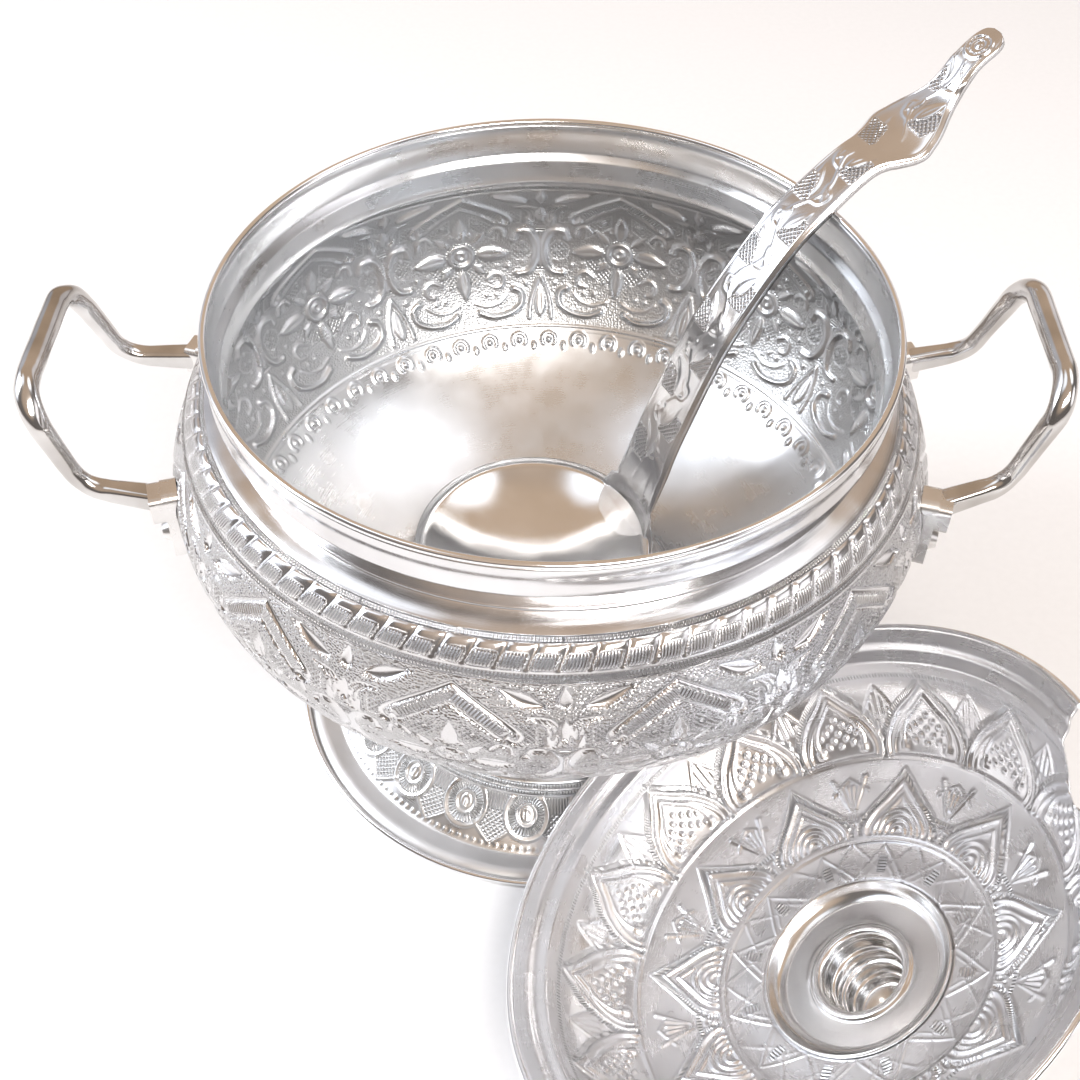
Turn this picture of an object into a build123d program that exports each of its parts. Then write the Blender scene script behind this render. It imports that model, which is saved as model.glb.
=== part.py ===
from build123d import *
from math import asin, atan2, cos, degrees, radians, sin, sqrt
import os

# Footed serving bowl of thin pressed metal, with two rod handles riveted to its belly, a ladle standing in it and
# its lid lying beside it, inside up. Millimetres, +Z up. The origin is on the bowl's axis, on the surface that the
# foot stands on, and +X runs through the right-hand handle.

os.makedirs("parts", exist_ok=True)

# ---- driving dimensions ----
sheet = 1.2  # metal thickness of the bowl and its foot

# bowl
mouth_radius = 104.0
rim_height = 177.6
rim_wire_radius = 1.1
ledge_height = 166.5  # inner step that the lid's edge sits on
ledge_slope = 1.6
lip_radius = 101.6  # straight band between the neck's groove and the ledge
lip_height = 159.4
neck_radius = 100.4
neck_height = 157.5
shoulder_radius = 107.6
shoulder_height = 154.4
knurl_radius = 113.7  # double knurled line under the shoulder
knurl_height = 147.0
flank_radius = 119.4
flank_height = 133.5
belly_radius = 121.0
belly_height = 125.5
belly_drop = 78.0  # lower semi-axis of the belly's elliptical outline
base_radius = 44.0

# foot
waist_radius = 52.0
waist_height = 40.0
ring_radius = 64.7
ring_height = 17.3
skirt_radius = 80.4
foot_radius = 91.6
foot_wire_radius = 1.2
foot_rivet_radius = 3.0
foot_washer_thickness = 1.0

# handles
rod = 6.8
bend = 13.0
arm_y = 34.0
arm_height = 129.5
knee = (141.4, 31.4, 135.0)  # outer end of an arm, where it turns up
grip = (153.4, 28.0, 168.0)  # end of the grip bar
handle_fit = {"left": (-1, 2.8, -4.0), "right": (1, -2.8, 4.0)}  # side, extra reach, extra lift of each
lug_width = 11.0
lug_length = 27.0
lug_face = 3.0  # how far the lug stands off the belly
lug_rivet_drop = 12.5
lug_rivet_radius = 2.2

# lid
lid_sheet = 1.1
lid_radius = 96.5
lid_wire_radius = 1.2
lid_tilt = 33.7
lid_low_azimuth = 164.3
lid_x = 71.7
lid_y = -129.0
lid_z = 72.2
seat_radius = 30.0
seat_depth = 46.2
seat_hole = 16.0
collar_radius = 21.5  # hole in the lid that the knob is spun into
collar_depth = -51.8
knob_tip_radius = 7.0
knob_floor = -76.0
notch_azimuth = -156.0
notch_width = 26.0
notch_inner = 81.0

# ladle
ladle_azimuth = 27.0
scoop_x = -5.3
scoop_y = 10.5
scoop_radius = 43.0
scoop_depth = 10.6
ladle_sheet = 1.4
rest_gap = 0.35  # bare clearance between the ladle and the bowl

# ---- derived places ----
base_height = belly_height - belly_drop * sqrt(1 - (base_radius / belly_radius) ** 2)
floor_height = base_height + sheet


def direction(azimuth, elevation=0.0):
    """Unit vector at an azimuth and an elevation, in degrees."""
    flat = cos(radians(elevation))
    return Vector(flat * cos(radians(azimuth)), flat * sin(radians(azimuth)), sin(radians(elevation)))


# ---- bowl ----
def bowl_outline(inset):
    """Bowl wall outline in the XZ plane, from the axis at the base up to the mouth, set in by inset."""
    drop = belly_drop - inset
    radius = belly_radius - inset
    low = base_height + inset
    start_radius = radius * sqrt(1 - ((belly_height - low) / drop) ** 2)
    sweep_angle = degrees(asin((belly_height - low) / drop))
    Line((0, low), (start_radius, low))
    EllipticalCenterArc((0, belly_height), radius, drop, start_angle=-sweep_angle, arc_size=sweep_angle)
    Spline(
        (radius, belly_height),
        (flank_radius - 0.95 * inset, flank_height - 0.2 * inset),
        (knurl_radius - 0.75 * inset, knurl_height - 0.65 * inset),
        (shoulder_radius - 0.4 * inset, shoulder_height - inset),
        (neck_radius - inset, neck_height - inset),
        tangents=[(0, 1), (-1, 0.55)],
    )
    Line((neck_radius - inset, neck_height - inset), (lip_radius - inset, lip_height))
    Line((lip_radius - inset, lip_height), (lip_radius - inset, ledge_height - ledge_slope))
    Line((lip_radius - inset, ledge_height - ledge_slope), (mouth_radius - inset, ledge_height))
    Line((mouth_radius - inset, ledge_height), (mouth_radius - inset, rim_height))


with BuildPart() as bowl_blank:
    with BuildSketch(Plane.XZ):
        with BuildLine():
            bowl_outline(0)
            Polyline((mouth_radius, rim_height), (0, rim_height), (0, base_height))
        make_face()
    revolve(axis=Axis.Z)

with BuildPart() as bowl_hollow:
    with BuildSketch(Plane.XZ):
        with BuildLine():
            bowl_outline(sheet)
            Polyline((mouth_radius - sheet, rim_height), (0, rim_height), (0, floor_height))
        make_face()
    revolve(axis=Axis.Z)

lug_azimuth = degrees(atan2(arm_y, sqrt(belly_radius**2 - arm_y**2)))
lug_azimuths = {
    "left": {"front": 180 + lug_azimuth, "back": 180 - lug_azimuth},
    "right": {"front": -lug_azimuth, "back": lug_azimuth},
}


def lug_plane(hand, end, radius, drop=0.0):
    """Plane square to the belly at a lug, drop below the arm, with its Y axis pointing up."""
    outward = direction(lug_azimuths[hand][end])
    centre = outward * radius + Vector(0, 0, arm_height + handle_fit[hand][2] / 4 - drop)
    return Plane(origin=centre, x_dir=(-outward.Y, outward.X, 0), z_dir=outward)


with BuildPart() as bowl_shell:
    add(bowl_blank.part)
    add(bowl_hollow.part, mode=Mode.SUBTRACT)
    for hand, ends in lug_azimuths.items():
        for end in ends:
            with BuildSketch(lug_plane(hand, end, belly_radius - 6, lug_rivet_drop)):
                Circle(lug_rivet_radius)
            extrude(amount=10, mode=Mode.SUBTRACT)
    with BuildSketch(Plane.XY.offset(base_height - 1)):
        Circle(foot_rivet_radius)
    extrude(amount=sheet + 2, mode=Mode.SUBTRACT)
bowl_shell.part.label = "bowl_shell"

with BuildPart() as rim_wire:
    with BuildSketch(Plane.XZ):
        with Locations((mouth_radius - sheet / 2, rim_height + rim_wire_radius)):
            Circle(rim_wire_radius)
    revolve(axis=Axis.Z)
rim_wire.part.label = "rim_wire"


# ---- foot ----
def foot_outline(inset):
    """Foot outline in the XZ plane, from the axis under the bowl out to the edge of the flange."""
    top = base_height - inset
    Line((0, top), (base_radius - 4, top))
    Spline(
        (base_radius - 4, top),
        (waist_radius - inset, waist_height),
        (ring_radius - inset, ring_height - 0.4 * inset),
        (skirt_radius - 0.5 * inset, sheet - inset + 1.2),
        tangents=[(1, -0.1), (1, -0.35)],
    )
    Line((skirt_radius - 0.5 * inset, sheet - inset + 1.2), (skirt_radius + 1.5, sheet - inset))
    Line((skirt_radius + 1.5, sheet - inset), (foot_radius, sheet - inset))


with BuildPart() as foot_blank:
    with BuildSketch(Plane.XZ):
        with BuildLine():
            foot_outline(0)
            Polyline((foot_radius, sheet), (foot_radius, -1), (0, -1), (0, base_height))
        make_face()
    revolve(axis=Axis.Z)

with BuildPart() as foot_hollow:
    with BuildSketch(Plane.XZ):
        with BuildLine():
            foot_outline(sheet)
            Polyline((foot_radius, 0), (foot_radius, -1), (0, -1), (0, base_height - sheet))
        make_face()
    revolve(axis=Axis.Z)

with BuildPart() as foot_shell:
    add(foot_blank.part)
    add(foot_hollow.part, mode=Mode.SUBTRACT)
    with BuildSketch(Plane.XY.offset(base_height - sheet - 1)):
        Circle(foot_rivet_radius)
    extrude(amount=sheet + 2, mode=Mode.SUBTRACT)
foot_shell.part.label = "foot_shell"

with BuildPart() as foot_edge_wire:
    with BuildSketch(Plane.XZ):
        with Locations((foot_radius + foot_wire_radius * 0.75, foot_wire_radius)):
            Circle(foot_wire_radius)
        with Locations((foot_radius - foot_wire_radius, sheet / 2)):
            Rectangle(2 * foot_wire_radius, 3 * sheet, mode=Mode.SUBTRACT)
    revolve(axis=Axis.Z)
foot_edge_wire.part.label = "foot_edge_wire"

with BuildPart() as foot_rivet:
    with BuildSketch(Plane.XY.offset(base_height - sheet - foot_washer_thickness)):
        Circle(foot_rivet_radius)
    extrude(amount=2 * sheet + foot_washer_thickness)
    with BuildSketch(Plane.XY.offset(base_height - sheet - foot_washer_thickness)):
        Circle(foot_rivet_radius * 2)
    extrude(amount=-1.6, taper=20)
foot_rivet.part.label = "foot_rivet"

with BuildPart() as foot_washer:
    with BuildSketch(Plane.XY.offset(base_height - sheet - foot_washer_thickness)):
        Circle(foot_rivet_radius * 3)
        Circle(foot_rivet_radius, mode=Mode.SUBTRACT)
    extrude(amount=foot_washer_thickness)
foot_washer.part.label = "foot_washer"

# ---- handles, their lugs and rivets ----
bowl_parts = [bowl_shell, rim_wire, foot_shell, foot_edge_wire, foot_rivet, foot_washer]

for hand, (side, reach, lift) in handle_fit.items():
    arm_start = direction(lug_azimuths[hand]["back"]) * (belly_radius + 1.6)
    arm_z = arm_height + lift / 4
    half_route = [
        (arm_start.X, arm_y, arm_z),
        (side * (knee[0] + reach), knee[1], knee[2] + lift),
        (side * (grip[0] + reach), grip[1], grip[2] + lift),
    ]
    route = half_route + [(x, -y, z) for x, y, z in reversed(half_route)]
    with BuildPart() as handle:
        with BuildLine() as handle_route:
            FilletPolyline(*route, radius=bend)
        with BuildSketch(Plane(origin=handle_route.line @ 0, z_dir=handle_route.line % 0)):
            Circle(rod / 2)
        sweep()
    handle.part.label = f"handle_{hand}"
    bowl_parts.append(handle)

    for end in ("front", "back"):
        with BuildPart() as lug:
            with BuildSketch(lug_plane(hand, end, belly_radius - 4, lug_length / 2 - 6)):
                RectangleRounded(lug_width, lug_length, lug_width * 0.3)
            extrude(amount=4 + lug_face)
            with BuildSketch(lug_plane(hand, end, belly_radius - 1)):
                RectangleRounded(lug_width - 0.6, 10.5, 2.4)
            extrude(amount=8)
            add(bowl_blank.part, mode=Mode.SUBTRACT)
            add(handle.part, mode=Mode.SUBTRACT)
            with BuildSketch(lug_plane(hand, end, belly_radius - 6, lug_rivet_drop)):
                Circle(lug_rivet_radius + 0.05)
            extrude(amount=20, mode=Mode.SUBTRACT)
        lug.part.label = f"lug_{hand}_{end}"
        bowl_parts.append(lug)

    with BuildPart() as lug_rivets:
        for end in ("front", "back"):
            with BuildSketch(lug_plane(hand, end, belly_radius - sheet - 2.0, lug_rivet_drop)):
                Circle(lug_rivet_radius)
            extrude(amount=lug_face + sheet + 2.4)
            with BuildSketch(lug_plane(hand, end, belly_radius + lug_face, lug_rivet_drop)):
                Circle(lug_rivet_radius * 1.7)
            extrude(amount=2.4, taper=28)
            with BuildSketch(lug_plane(hand, end, belly_radius - sheet - 2.0, lug_rivet_drop)):
                Circle(lug_rivet_radius * 1.5)
            extrude(amount=-0.8)
    lug_rivets.part.label = f"lug_rivets_{hand}"
    bowl_parts.append(lug_rivets)

# ---- lid, lying inside up on its edge and its knob ----
lid_axis = direction(lid_low_azimuth, 90 - lid_tilt)
lid_low = direction(lid_low_azimuth, -lid_tilt)
lid_side = lid_axis.cross(lid_low)
tip_centre = (lid_z - knob_tip_radius) / cos(radians(lid_tilt))
lid_centre = Vector(lid_x, lid_y, lid_z)
lid_turn = Axis(lid_centre, lid_axis)
lid_section = Plane(origin=lid_centre, x_dir=lid_low, z_dir=lid_low.cross(lid_axis))
notch_way = lid_low * cos(radians(notch_azimuth)) + lid_side * sin(radians(notch_azimuth))
notch_plane = Plane(origin=lid_centre - lid_axis * 22, x_dir=notch_way, z_dir=lid_axis)


def lid_outline(out):
    """Lid wall outline in its own section plane, from the rolled edge in to the knob's seat, set out by out."""
    Line((lid_radius - lid_wire_radius, -out), (91.6, -2.2 - out))
    Line((91.6, -2.2 - out), (90.6 + 0.3 * out, -4.4 - out))
    Line((90.6 + 0.3 * out, -4.4 - out), (86.8 + 0.6 * out, -6.0 - out))
    Spline(
        (86.8 + 0.6 * out, -6.0 - out),
        (82.4 + 0.85 * out, -18.5 - 0.5 * out),
        (70.0 + 0.55 * out, -34.3 - 0.85 * out),
        (45.4 + 0.25 * out, -45.2 - out),
        (seat_radius + 1.5, -seat_depth - 1.4 - out),
        tangents=[(-0.3, -1), (-1, -0.1)],
    )
    Line((seat_radius + 1.5, -seat_depth - 1.4 - out), (collar_radius, collar_depth - out))


with BuildPart() as lid_shell:
    with BuildSketch(lid_section):
        with BuildLine():
            lid_outline(0)
            Line((collar_radius, collar_depth), (collar_radius, collar_depth - lid_sheet))
            lid_outline(lid_sheet)
            Line((lid_radius - lid_wire_radius, 0), (lid_radius - lid_wire_radius, -lid_sheet))
        make_face()
    revolve(axis=lid_turn)
    with BuildSketch(notch_plane):
        with Locations((notch_inner + notch_width / 2 + 20, 0)):
            Rectangle(40, notch_width)
        with Locations((notch_inner + notch_width / 2, 0)):
            Circle(notch_width / 2)
    extrude(amount=30, mode=Mode.SUBTRACT)
lid_shell.part.label = "lid_shell"

with BuildPart() as lid_edge_wire:
    with BuildSketch(lid_section):
        with Locations((lid_radius, 0)):
            Circle(lid_wire_radius)
        with Locations((lid_radius - 2 * lid_wire_radius, -lid_sheet / 2)):
            Rectangle(2 * lid_wire_radius, 1.3 * lid_sheet, mode=Mode.SUBTRACT)
    revolve(axis=lid_turn)
    with BuildSketch(notch_plane):
        with Locations((lid_radius, 0)):
            Rectangle(20, notch_width)
    extrude(amount=30, mode=Mode.SUBTRACT)
lid_edge_wire.part.label = "lid_edge_wire"

with BuildPart() as knob_seat_ring:
    with BuildSketch(lid_section):
        with BuildLine():
            Polyline(
                (seat_radius + 1.5, -seat_depth - 1.4),
                (seat_radius, -seat_depth),
                (collar_radius, collar_depth + 1.6),
                (seat_hole, collar_depth + 1.2),
                (seat_hole, collar_depth),
                (collar_radius, collar_depth),
                close=True,
            )
        make_face()
    revolve(axis=lid_turn)
knob_seat_ring.part.label = "knob_seat_ring"

with BuildPart() as knob_shell:
    with BuildSketch(lid_section):
        with BuildLine():
            # hollow of the knob, stepping in as it gets deeper
            Polyline(
                (collar_radius, collar_depth),
                (seat_hole, collar_depth),
                (13.6, collar_depth - 2.6),
                (13.6, collar_depth - 7.0),
                (10.8, collar_depth - 8.0),
                (10.8, collar_depth - 13.0),
                (8.0, collar_depth - 14.5),
                (8.0, collar_depth - 21.0),
                (0, collar_depth - 21.5),
                (0, knob_floor),
            )
            Polyline((0, knob_floor), (7.2, knob_floor), (9.6, knob_floor + 3.4))
            Spline((9.6, knob_floor + 3.4), (12.6, -67.0), (12.4, -61.0), tangents=[(0.6, 1), (-0.2, 1)])
            Polyline((12.4, -61.0), (15.2, -57.6), (19.5, -55.8), (collar_radius, collar_depth - lid_sheet))
            Line((collar_radius, collar_depth - lid_sheet), (collar_radius, collar_depth))
        make_face()
    revolve(axis=lid_turn)
knob_shell.part.label = "knob_shell"

with BuildPart() as knob_tip:
    with BuildSketch(lid_section):
        with Locations((0, -tip_centre)):
            Circle(knob_tip_radius)
        with Locations((0, knob_floor + 20)):
            Rectangle(40, 40, mode=Mode.SUBTRACT)
        with Locations((-20, -tip_centre)):
            Rectangle(40, 40, mode=Mode.SUBTRACT)
    revolve(axis=lid_turn)
knob_tip.part.label = "knob_tip"

# ---- ladle ----
ladle_way = direction(ladle_azimuth)
ladle_side = Vector(0, 0, 1).cross(ladle_way)
scoop_low = floor_height + rest_gap
scoop_centre = Vector(scoop_x, scoop_y, 0)
scoop_rim_height = scoop_low + scoop_depth
scoop_curve = (scoop_radius**2 + scoop_depth**2) / (2 * scoop_depth)
ladle_plan = Plane(origin=scoop_centre, x_dir=ladle_way, z_dir=(0, 0, 1))
ladle_profile = Plane(origin=scoop_centre, x_dir=ladle_way, z_dir=-ladle_side)

with BuildPart() as ladle_scoop:
    with BuildSketch(ladle_profile):
        with Locations((0, scoop_low + scoop_curve)):
            Circle(scoop_curve)
            Circle(scoop_curve - ladle_sheet, mode=Mode.SUBTRACT)
        with Locations((0, scoop_rim_height + scoop_curve)):
            Rectangle(3 * scoop_curve, 2 * scoop_curve, mode=Mode.SUBTRACT)
        with Locations((-scoop_curve, scoop_low + scoop_curve)):
            Rectangle(2 * scoop_curve, 3 * scoop_curve, mode=Mode.SUBTRACT)
    revolve(axis=Axis(scoop_centre, (0, 0, 1)))
ladle_scoop.part.label = "ladle_scoop"

# the ladle's handle rises steeply, leans over the bowl's rim, levels out and curls up at its tip
handle_curve = [
    (scoop_radius - 3.2, scoop_rim_height - 2.6),
    (42.0, 74.0),
    (46.6, 94.0),
    (55.3, 117.0),
    (64.9, 138.6),
    (75.7, 156.0),
    (88.3, 172.6),
    (100.8, 183.2),
    (114.1, 192.3),
    (128.4, 196.6),
    (141.9, 206.8),
    (151.0, 218.0),
    (161.2, 225.0),
]
# half width of the handle along its reach: flare at the scoop, waist, shouldered head and narrow tip
handle_half_width = [(36.0, 15.0), (43.0, 13.0), (55.0, 11.4), (96.0, 10.0), (116.0, 9.6), (129.0, 14.4)]
head_half_width = [(129.0, 14.4), (136.6, 11.6), (143.0, 7.2), (150.0, 5.8), (157.0, 5.8)]


def beneath(curve, share, amount):
    """Point set off from a curve to its right, at a share of its length."""
    way = curve % share
    return curve @ share + Vector(way.Y, -way.X, 0) * amount


with BuildPart() as ladle_handle:
    with BuildSketch(ladle_profile.offset(-20)):
        with BuildLine():
            handle_top = Spline(*handle_curve, tangents=[(0.5, 1), (1, 0.55)])
            handle_under = Spline(*[beneath(handle_top, step / 16, ladle_sheet) for step in range(17)])
            Line(handle_top @ 0, handle_under @ 0)
            Line(handle_top @ 1, handle_under @ 1)
        make_face()
    extrude(amount=40)
    with BuildSketch(ladle_plan):
        with BuildLine():
            Line((36.0, -15.0), (36.0, 15.0))
            Spline(*handle_half_width)
            Spline(*head_half_width)
            ThreePointArc((157.0, 5.8), (162.8, 0), (157.0, -5.8))
            Spline(*[(reach, -half) for reach, half in reversed(head_half_width)])
            Spline(*[(reach, -half) for reach, half in reversed(handle_half_width)])
        make_face()
    extrude(amount=300, mode=Mode.INTERSECT)
    add(ladle_scoop.part, mode=Mode.SUBTRACT)
ladle_handle.part.label = "ladle_handle"

lid_parts = [lid_shell, lid_edge_wire, knob_seat_ring, knob_shell, knob_tip]
ladle_parts = [ladle_scoop, ladle_handle]
for piece in bowl_parts + lid_parts + ladle_parts:
    export_step(piece.part, f"parts/{piece.part.label}.step")
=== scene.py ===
"""Looks of a footed serving bowl of embossed bright metal, with its ladle and its upturned lid.

The thin sheet parts are rebuilt as closed meshes whose relief is worked out in millimetres from a few outlines.
"""

from math import asin, cos, pi, radians, sin, sqrt

import bpy
import numpy as np
from mathutils import Matrix, Vector


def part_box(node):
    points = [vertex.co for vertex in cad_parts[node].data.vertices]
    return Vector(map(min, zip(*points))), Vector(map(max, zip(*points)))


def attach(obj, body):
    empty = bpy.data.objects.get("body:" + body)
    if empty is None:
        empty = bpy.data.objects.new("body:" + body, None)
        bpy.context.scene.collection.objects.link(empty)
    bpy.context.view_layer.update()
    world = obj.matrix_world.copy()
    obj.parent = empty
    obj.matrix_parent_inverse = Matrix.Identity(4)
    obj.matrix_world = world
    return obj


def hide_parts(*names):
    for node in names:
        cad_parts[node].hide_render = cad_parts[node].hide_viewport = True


MM = 0.001
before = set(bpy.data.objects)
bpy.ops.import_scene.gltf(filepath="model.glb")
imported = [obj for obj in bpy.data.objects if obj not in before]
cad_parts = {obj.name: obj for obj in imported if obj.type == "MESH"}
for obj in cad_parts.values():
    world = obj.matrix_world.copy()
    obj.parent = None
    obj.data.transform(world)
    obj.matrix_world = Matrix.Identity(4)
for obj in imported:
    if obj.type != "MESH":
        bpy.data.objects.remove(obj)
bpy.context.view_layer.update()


def box_mm(node):
    """A CAD node's lowest and highest corners, in millimetres."""
    low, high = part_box(node)
    return np.array(low) / MM, np.array(high) / MM


# ---- driving dimensions, in millimetres ----
bowl_low, bowl_high = box_mm("bowl_shell")
foot_high = box_mm("foot_shell")[1]
belly_radius = bowl_high[0]
rim_height = bowl_high[2]
base_height = bowl_low[2]
foot_radius = foot_high[0]
sheet = 1.2
mouth_radius = 104.0
ledge_height = 166.5
ledge_slope = 1.6
lip_radius, lip_height = 101.6, 159.4
neck_radius, neck_height = 100.4, 157.5
shoulder_radius, shoulder_height = 107.6, 154.4
knurl_radius, knurl_height = 113.7, 147.0
flank_radius, flank_height = 119.4, 133.5
belly_height = 125.5
belly_drop = 78.0
base_radius = 44.0
waist_radius, waist_height = 52.0, 40.0
ring_radius, ring_height = 64.7, 17.3
skirt_radius = 80.4

# bowl frieze: twelve repeats, and distances down the wall from the neck's groove
bowl_repeats = 12
bowl_phase = 17.5
bowl_columns = 1296
cell_width = radians(360 / bowl_repeats) * 118.0
gadroons = 84
arches, arch_phase = 54, 4.0
frieze_end = 93.5  # the wall below this is plain
grid_step = 0.55

lid_columns = 1080
lid_tilt = 33.7
lid_low_azimuth = 164.3
lid_centre = np.array([71.7, -129.0, 72.2])
lid_radius = 96.5
lid_wire_radius = 1.2
lid_sheet = 1.1
seat_radius = 30.0
collar_radius = 21.5
notch_azimuth, notch_width, notch_inner = -156.0, 26.0, 81.0
outer_petals, outer_petal_phase = 15, 12.9
inner_petals, inner_petal_phase = 10, 7.0
star_points, star_phase = 12, 24.0

foot_columns = 1080
medallions, medallion_phase = 20, 13.1

random = np.random.default_rng(12)


# ---- lines and relief shapes ----
def smooth_line(points, steps=8):
    """Places along a Catmull-Rom curve through the points."""
    p = np.asarray(points, float)
    p = np.vstack([2 * p[0] - p[1], p, 2 * p[-1] - p[-2]])
    t = np.linspace(0, 1, steps, endpoint=False)[:, None]
    out = []
    for a, b, c, d in zip(p, p[1:], p[2:], p[3:]):
        out.append(0.5 * (2 * b + (c - a) * t + (2 * a - 5 * b + 4 * c - d) * t**2 + (3 * b - a - 3 * c + d) * t**3))
    return np.vstack(out + [p[-2:-1]])


def trace(x, y, points, steps=8):
    """Distance of each place from a smooth line through the points, and the length along the line to there."""
    line = smooth_line(points, steps)
    best = np.full(np.shape(x), 1e9)
    along = np.zeros(np.shape(x))
    gone = 0.0
    for (ax, ay), (bx, by) in zip(line, line[1:]):
        run = np.hypot(bx - ax, by - ay)
        t = np.clip(((x - ax) * (bx - ax) + (y - ay) * (by - ay)) / run**2, 0, 1)
        far = np.hypot(x - ax - t * (bx - ax), y - ay - t * (by - ay))
        nearer = far < best
        best = np.where(nearer, far, best)
        along = np.where(nearer, gone + t * run, along)
        gone += run
    return best, along


def ridge(distance, half_width):
    """Round-topped ridge, 1 high."""
    return np.exp(-((distance / half_width) ** 2))


def cord(x, y, points, half_width):
    """Ridge along a smooth line."""
    return ridge(trace(x, y, points)[0], half_width)


def bead(x, y, centre, radius):
    """Round bead, 1 high."""
    return np.clip(1 - ((x - centre[0]) ** 2 + (y - centre[1]) ** 2) / radius**2, 0, None)


def leaf(x, y, base, tip, half_width, crease=0.0):
    """Pointed leaf, 1 high, with a crease along its middle."""
    run = np.subtract(tip, base)
    length = np.hypot(*run)
    along = ((x - base[0]) * run[0] + (y - base[1]) * run[1]) / length**2
    across = ((y - base[1]) * run[0] - (x - base[0]) * run[1]) / length
    room = half_width * np.sin(pi * np.clip(along, 0, 1) ** 0.8) + 1e-6
    swell = np.clip(1 - (across / room) ** 2, 0, None) ** 0.7 * ((along > 0) & (along < 1))
    return swell * (1 - crease * ridge(across, 0.45))


def petal_level(x, y, outline):
    """How far out each place is in a petal, 1 on its outline, and the petal's reach in that direction."""
    outline = smooth_line(outline, 6)
    angle = np.arctan2(y, np.abs(x))
    reach = np.interp(angle, np.arctan2(outline[:, 1], outline[:, 0]), np.hypot(outline[:, 0], outline[:, 1]))
    return np.hypot(x, y) / reach, reach


def band(value, low, high, soft):
    """1 between low and high, falling off over soft."""
    return np.clip((value - low) / soft + 0.5, 0, 1) * np.clip((high - value) / soft + 0.5, 0, 1)


def folded(azimuth, count, phase):
    """Angle from the nearest of count evenly spaced axes, in radians."""
    step = 2 * pi / count
    return (azimuth - radians(phase) + step / 2) % step - step / 2


class Relief:
    """Height of an embossed sheet over a grid, and where its fine tool marks lie."""

    def __init__(self, shape):
        self.height = np.zeros(shape)
        self.phase_a = np.zeros(shape)
        self.phase_b = np.zeros(shape)
        self.ticks = np.zeros(shape)
        self.hatch = np.zeros(shape)
        self.dots = np.zeros(shape)

    def lift(self, shape, height):
        """Raises the sheet to a shape where the shape is the higher, and keeps the ground's dots off it."""
        self.height = np.where(shape > 0.02, np.maximum(self.height, shape * height), self.height)
        self.dots = self.dots * np.clip(1 - 3 * shape, 0, 1)

    def mark_ticks(self, along, mask):
        """Short strokes across a line, counted along it."""
        here = mask > 0.02
        self.phase_a = np.where(here, along, self.phase_a)
        self.ticks = np.where(here, mask, self.ticks)
        self.dots = np.where(here, 0, self.dots)
        self.hatch = np.where(here, 0, self.hatch)

    def mark_hatch(self, x, y, mask):
        """Crossed strokes."""
        here = mask > 0.02
        self.phase_a = np.where(here, x, self.phase_a)
        self.phase_b = np.where(here, y, self.phase_b)
        self.hatch = np.where(here, mask, self.hatch)
        self.dots = np.where(here, 0, self.dots)

    def tiled(self, times):
        """The same relief repeated side by side."""
        wide = Relief((1, 1))
        for name, field in vars(self).items():
            setattr(wide, name, np.tile(field, (1, times)))
        return wide


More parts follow.
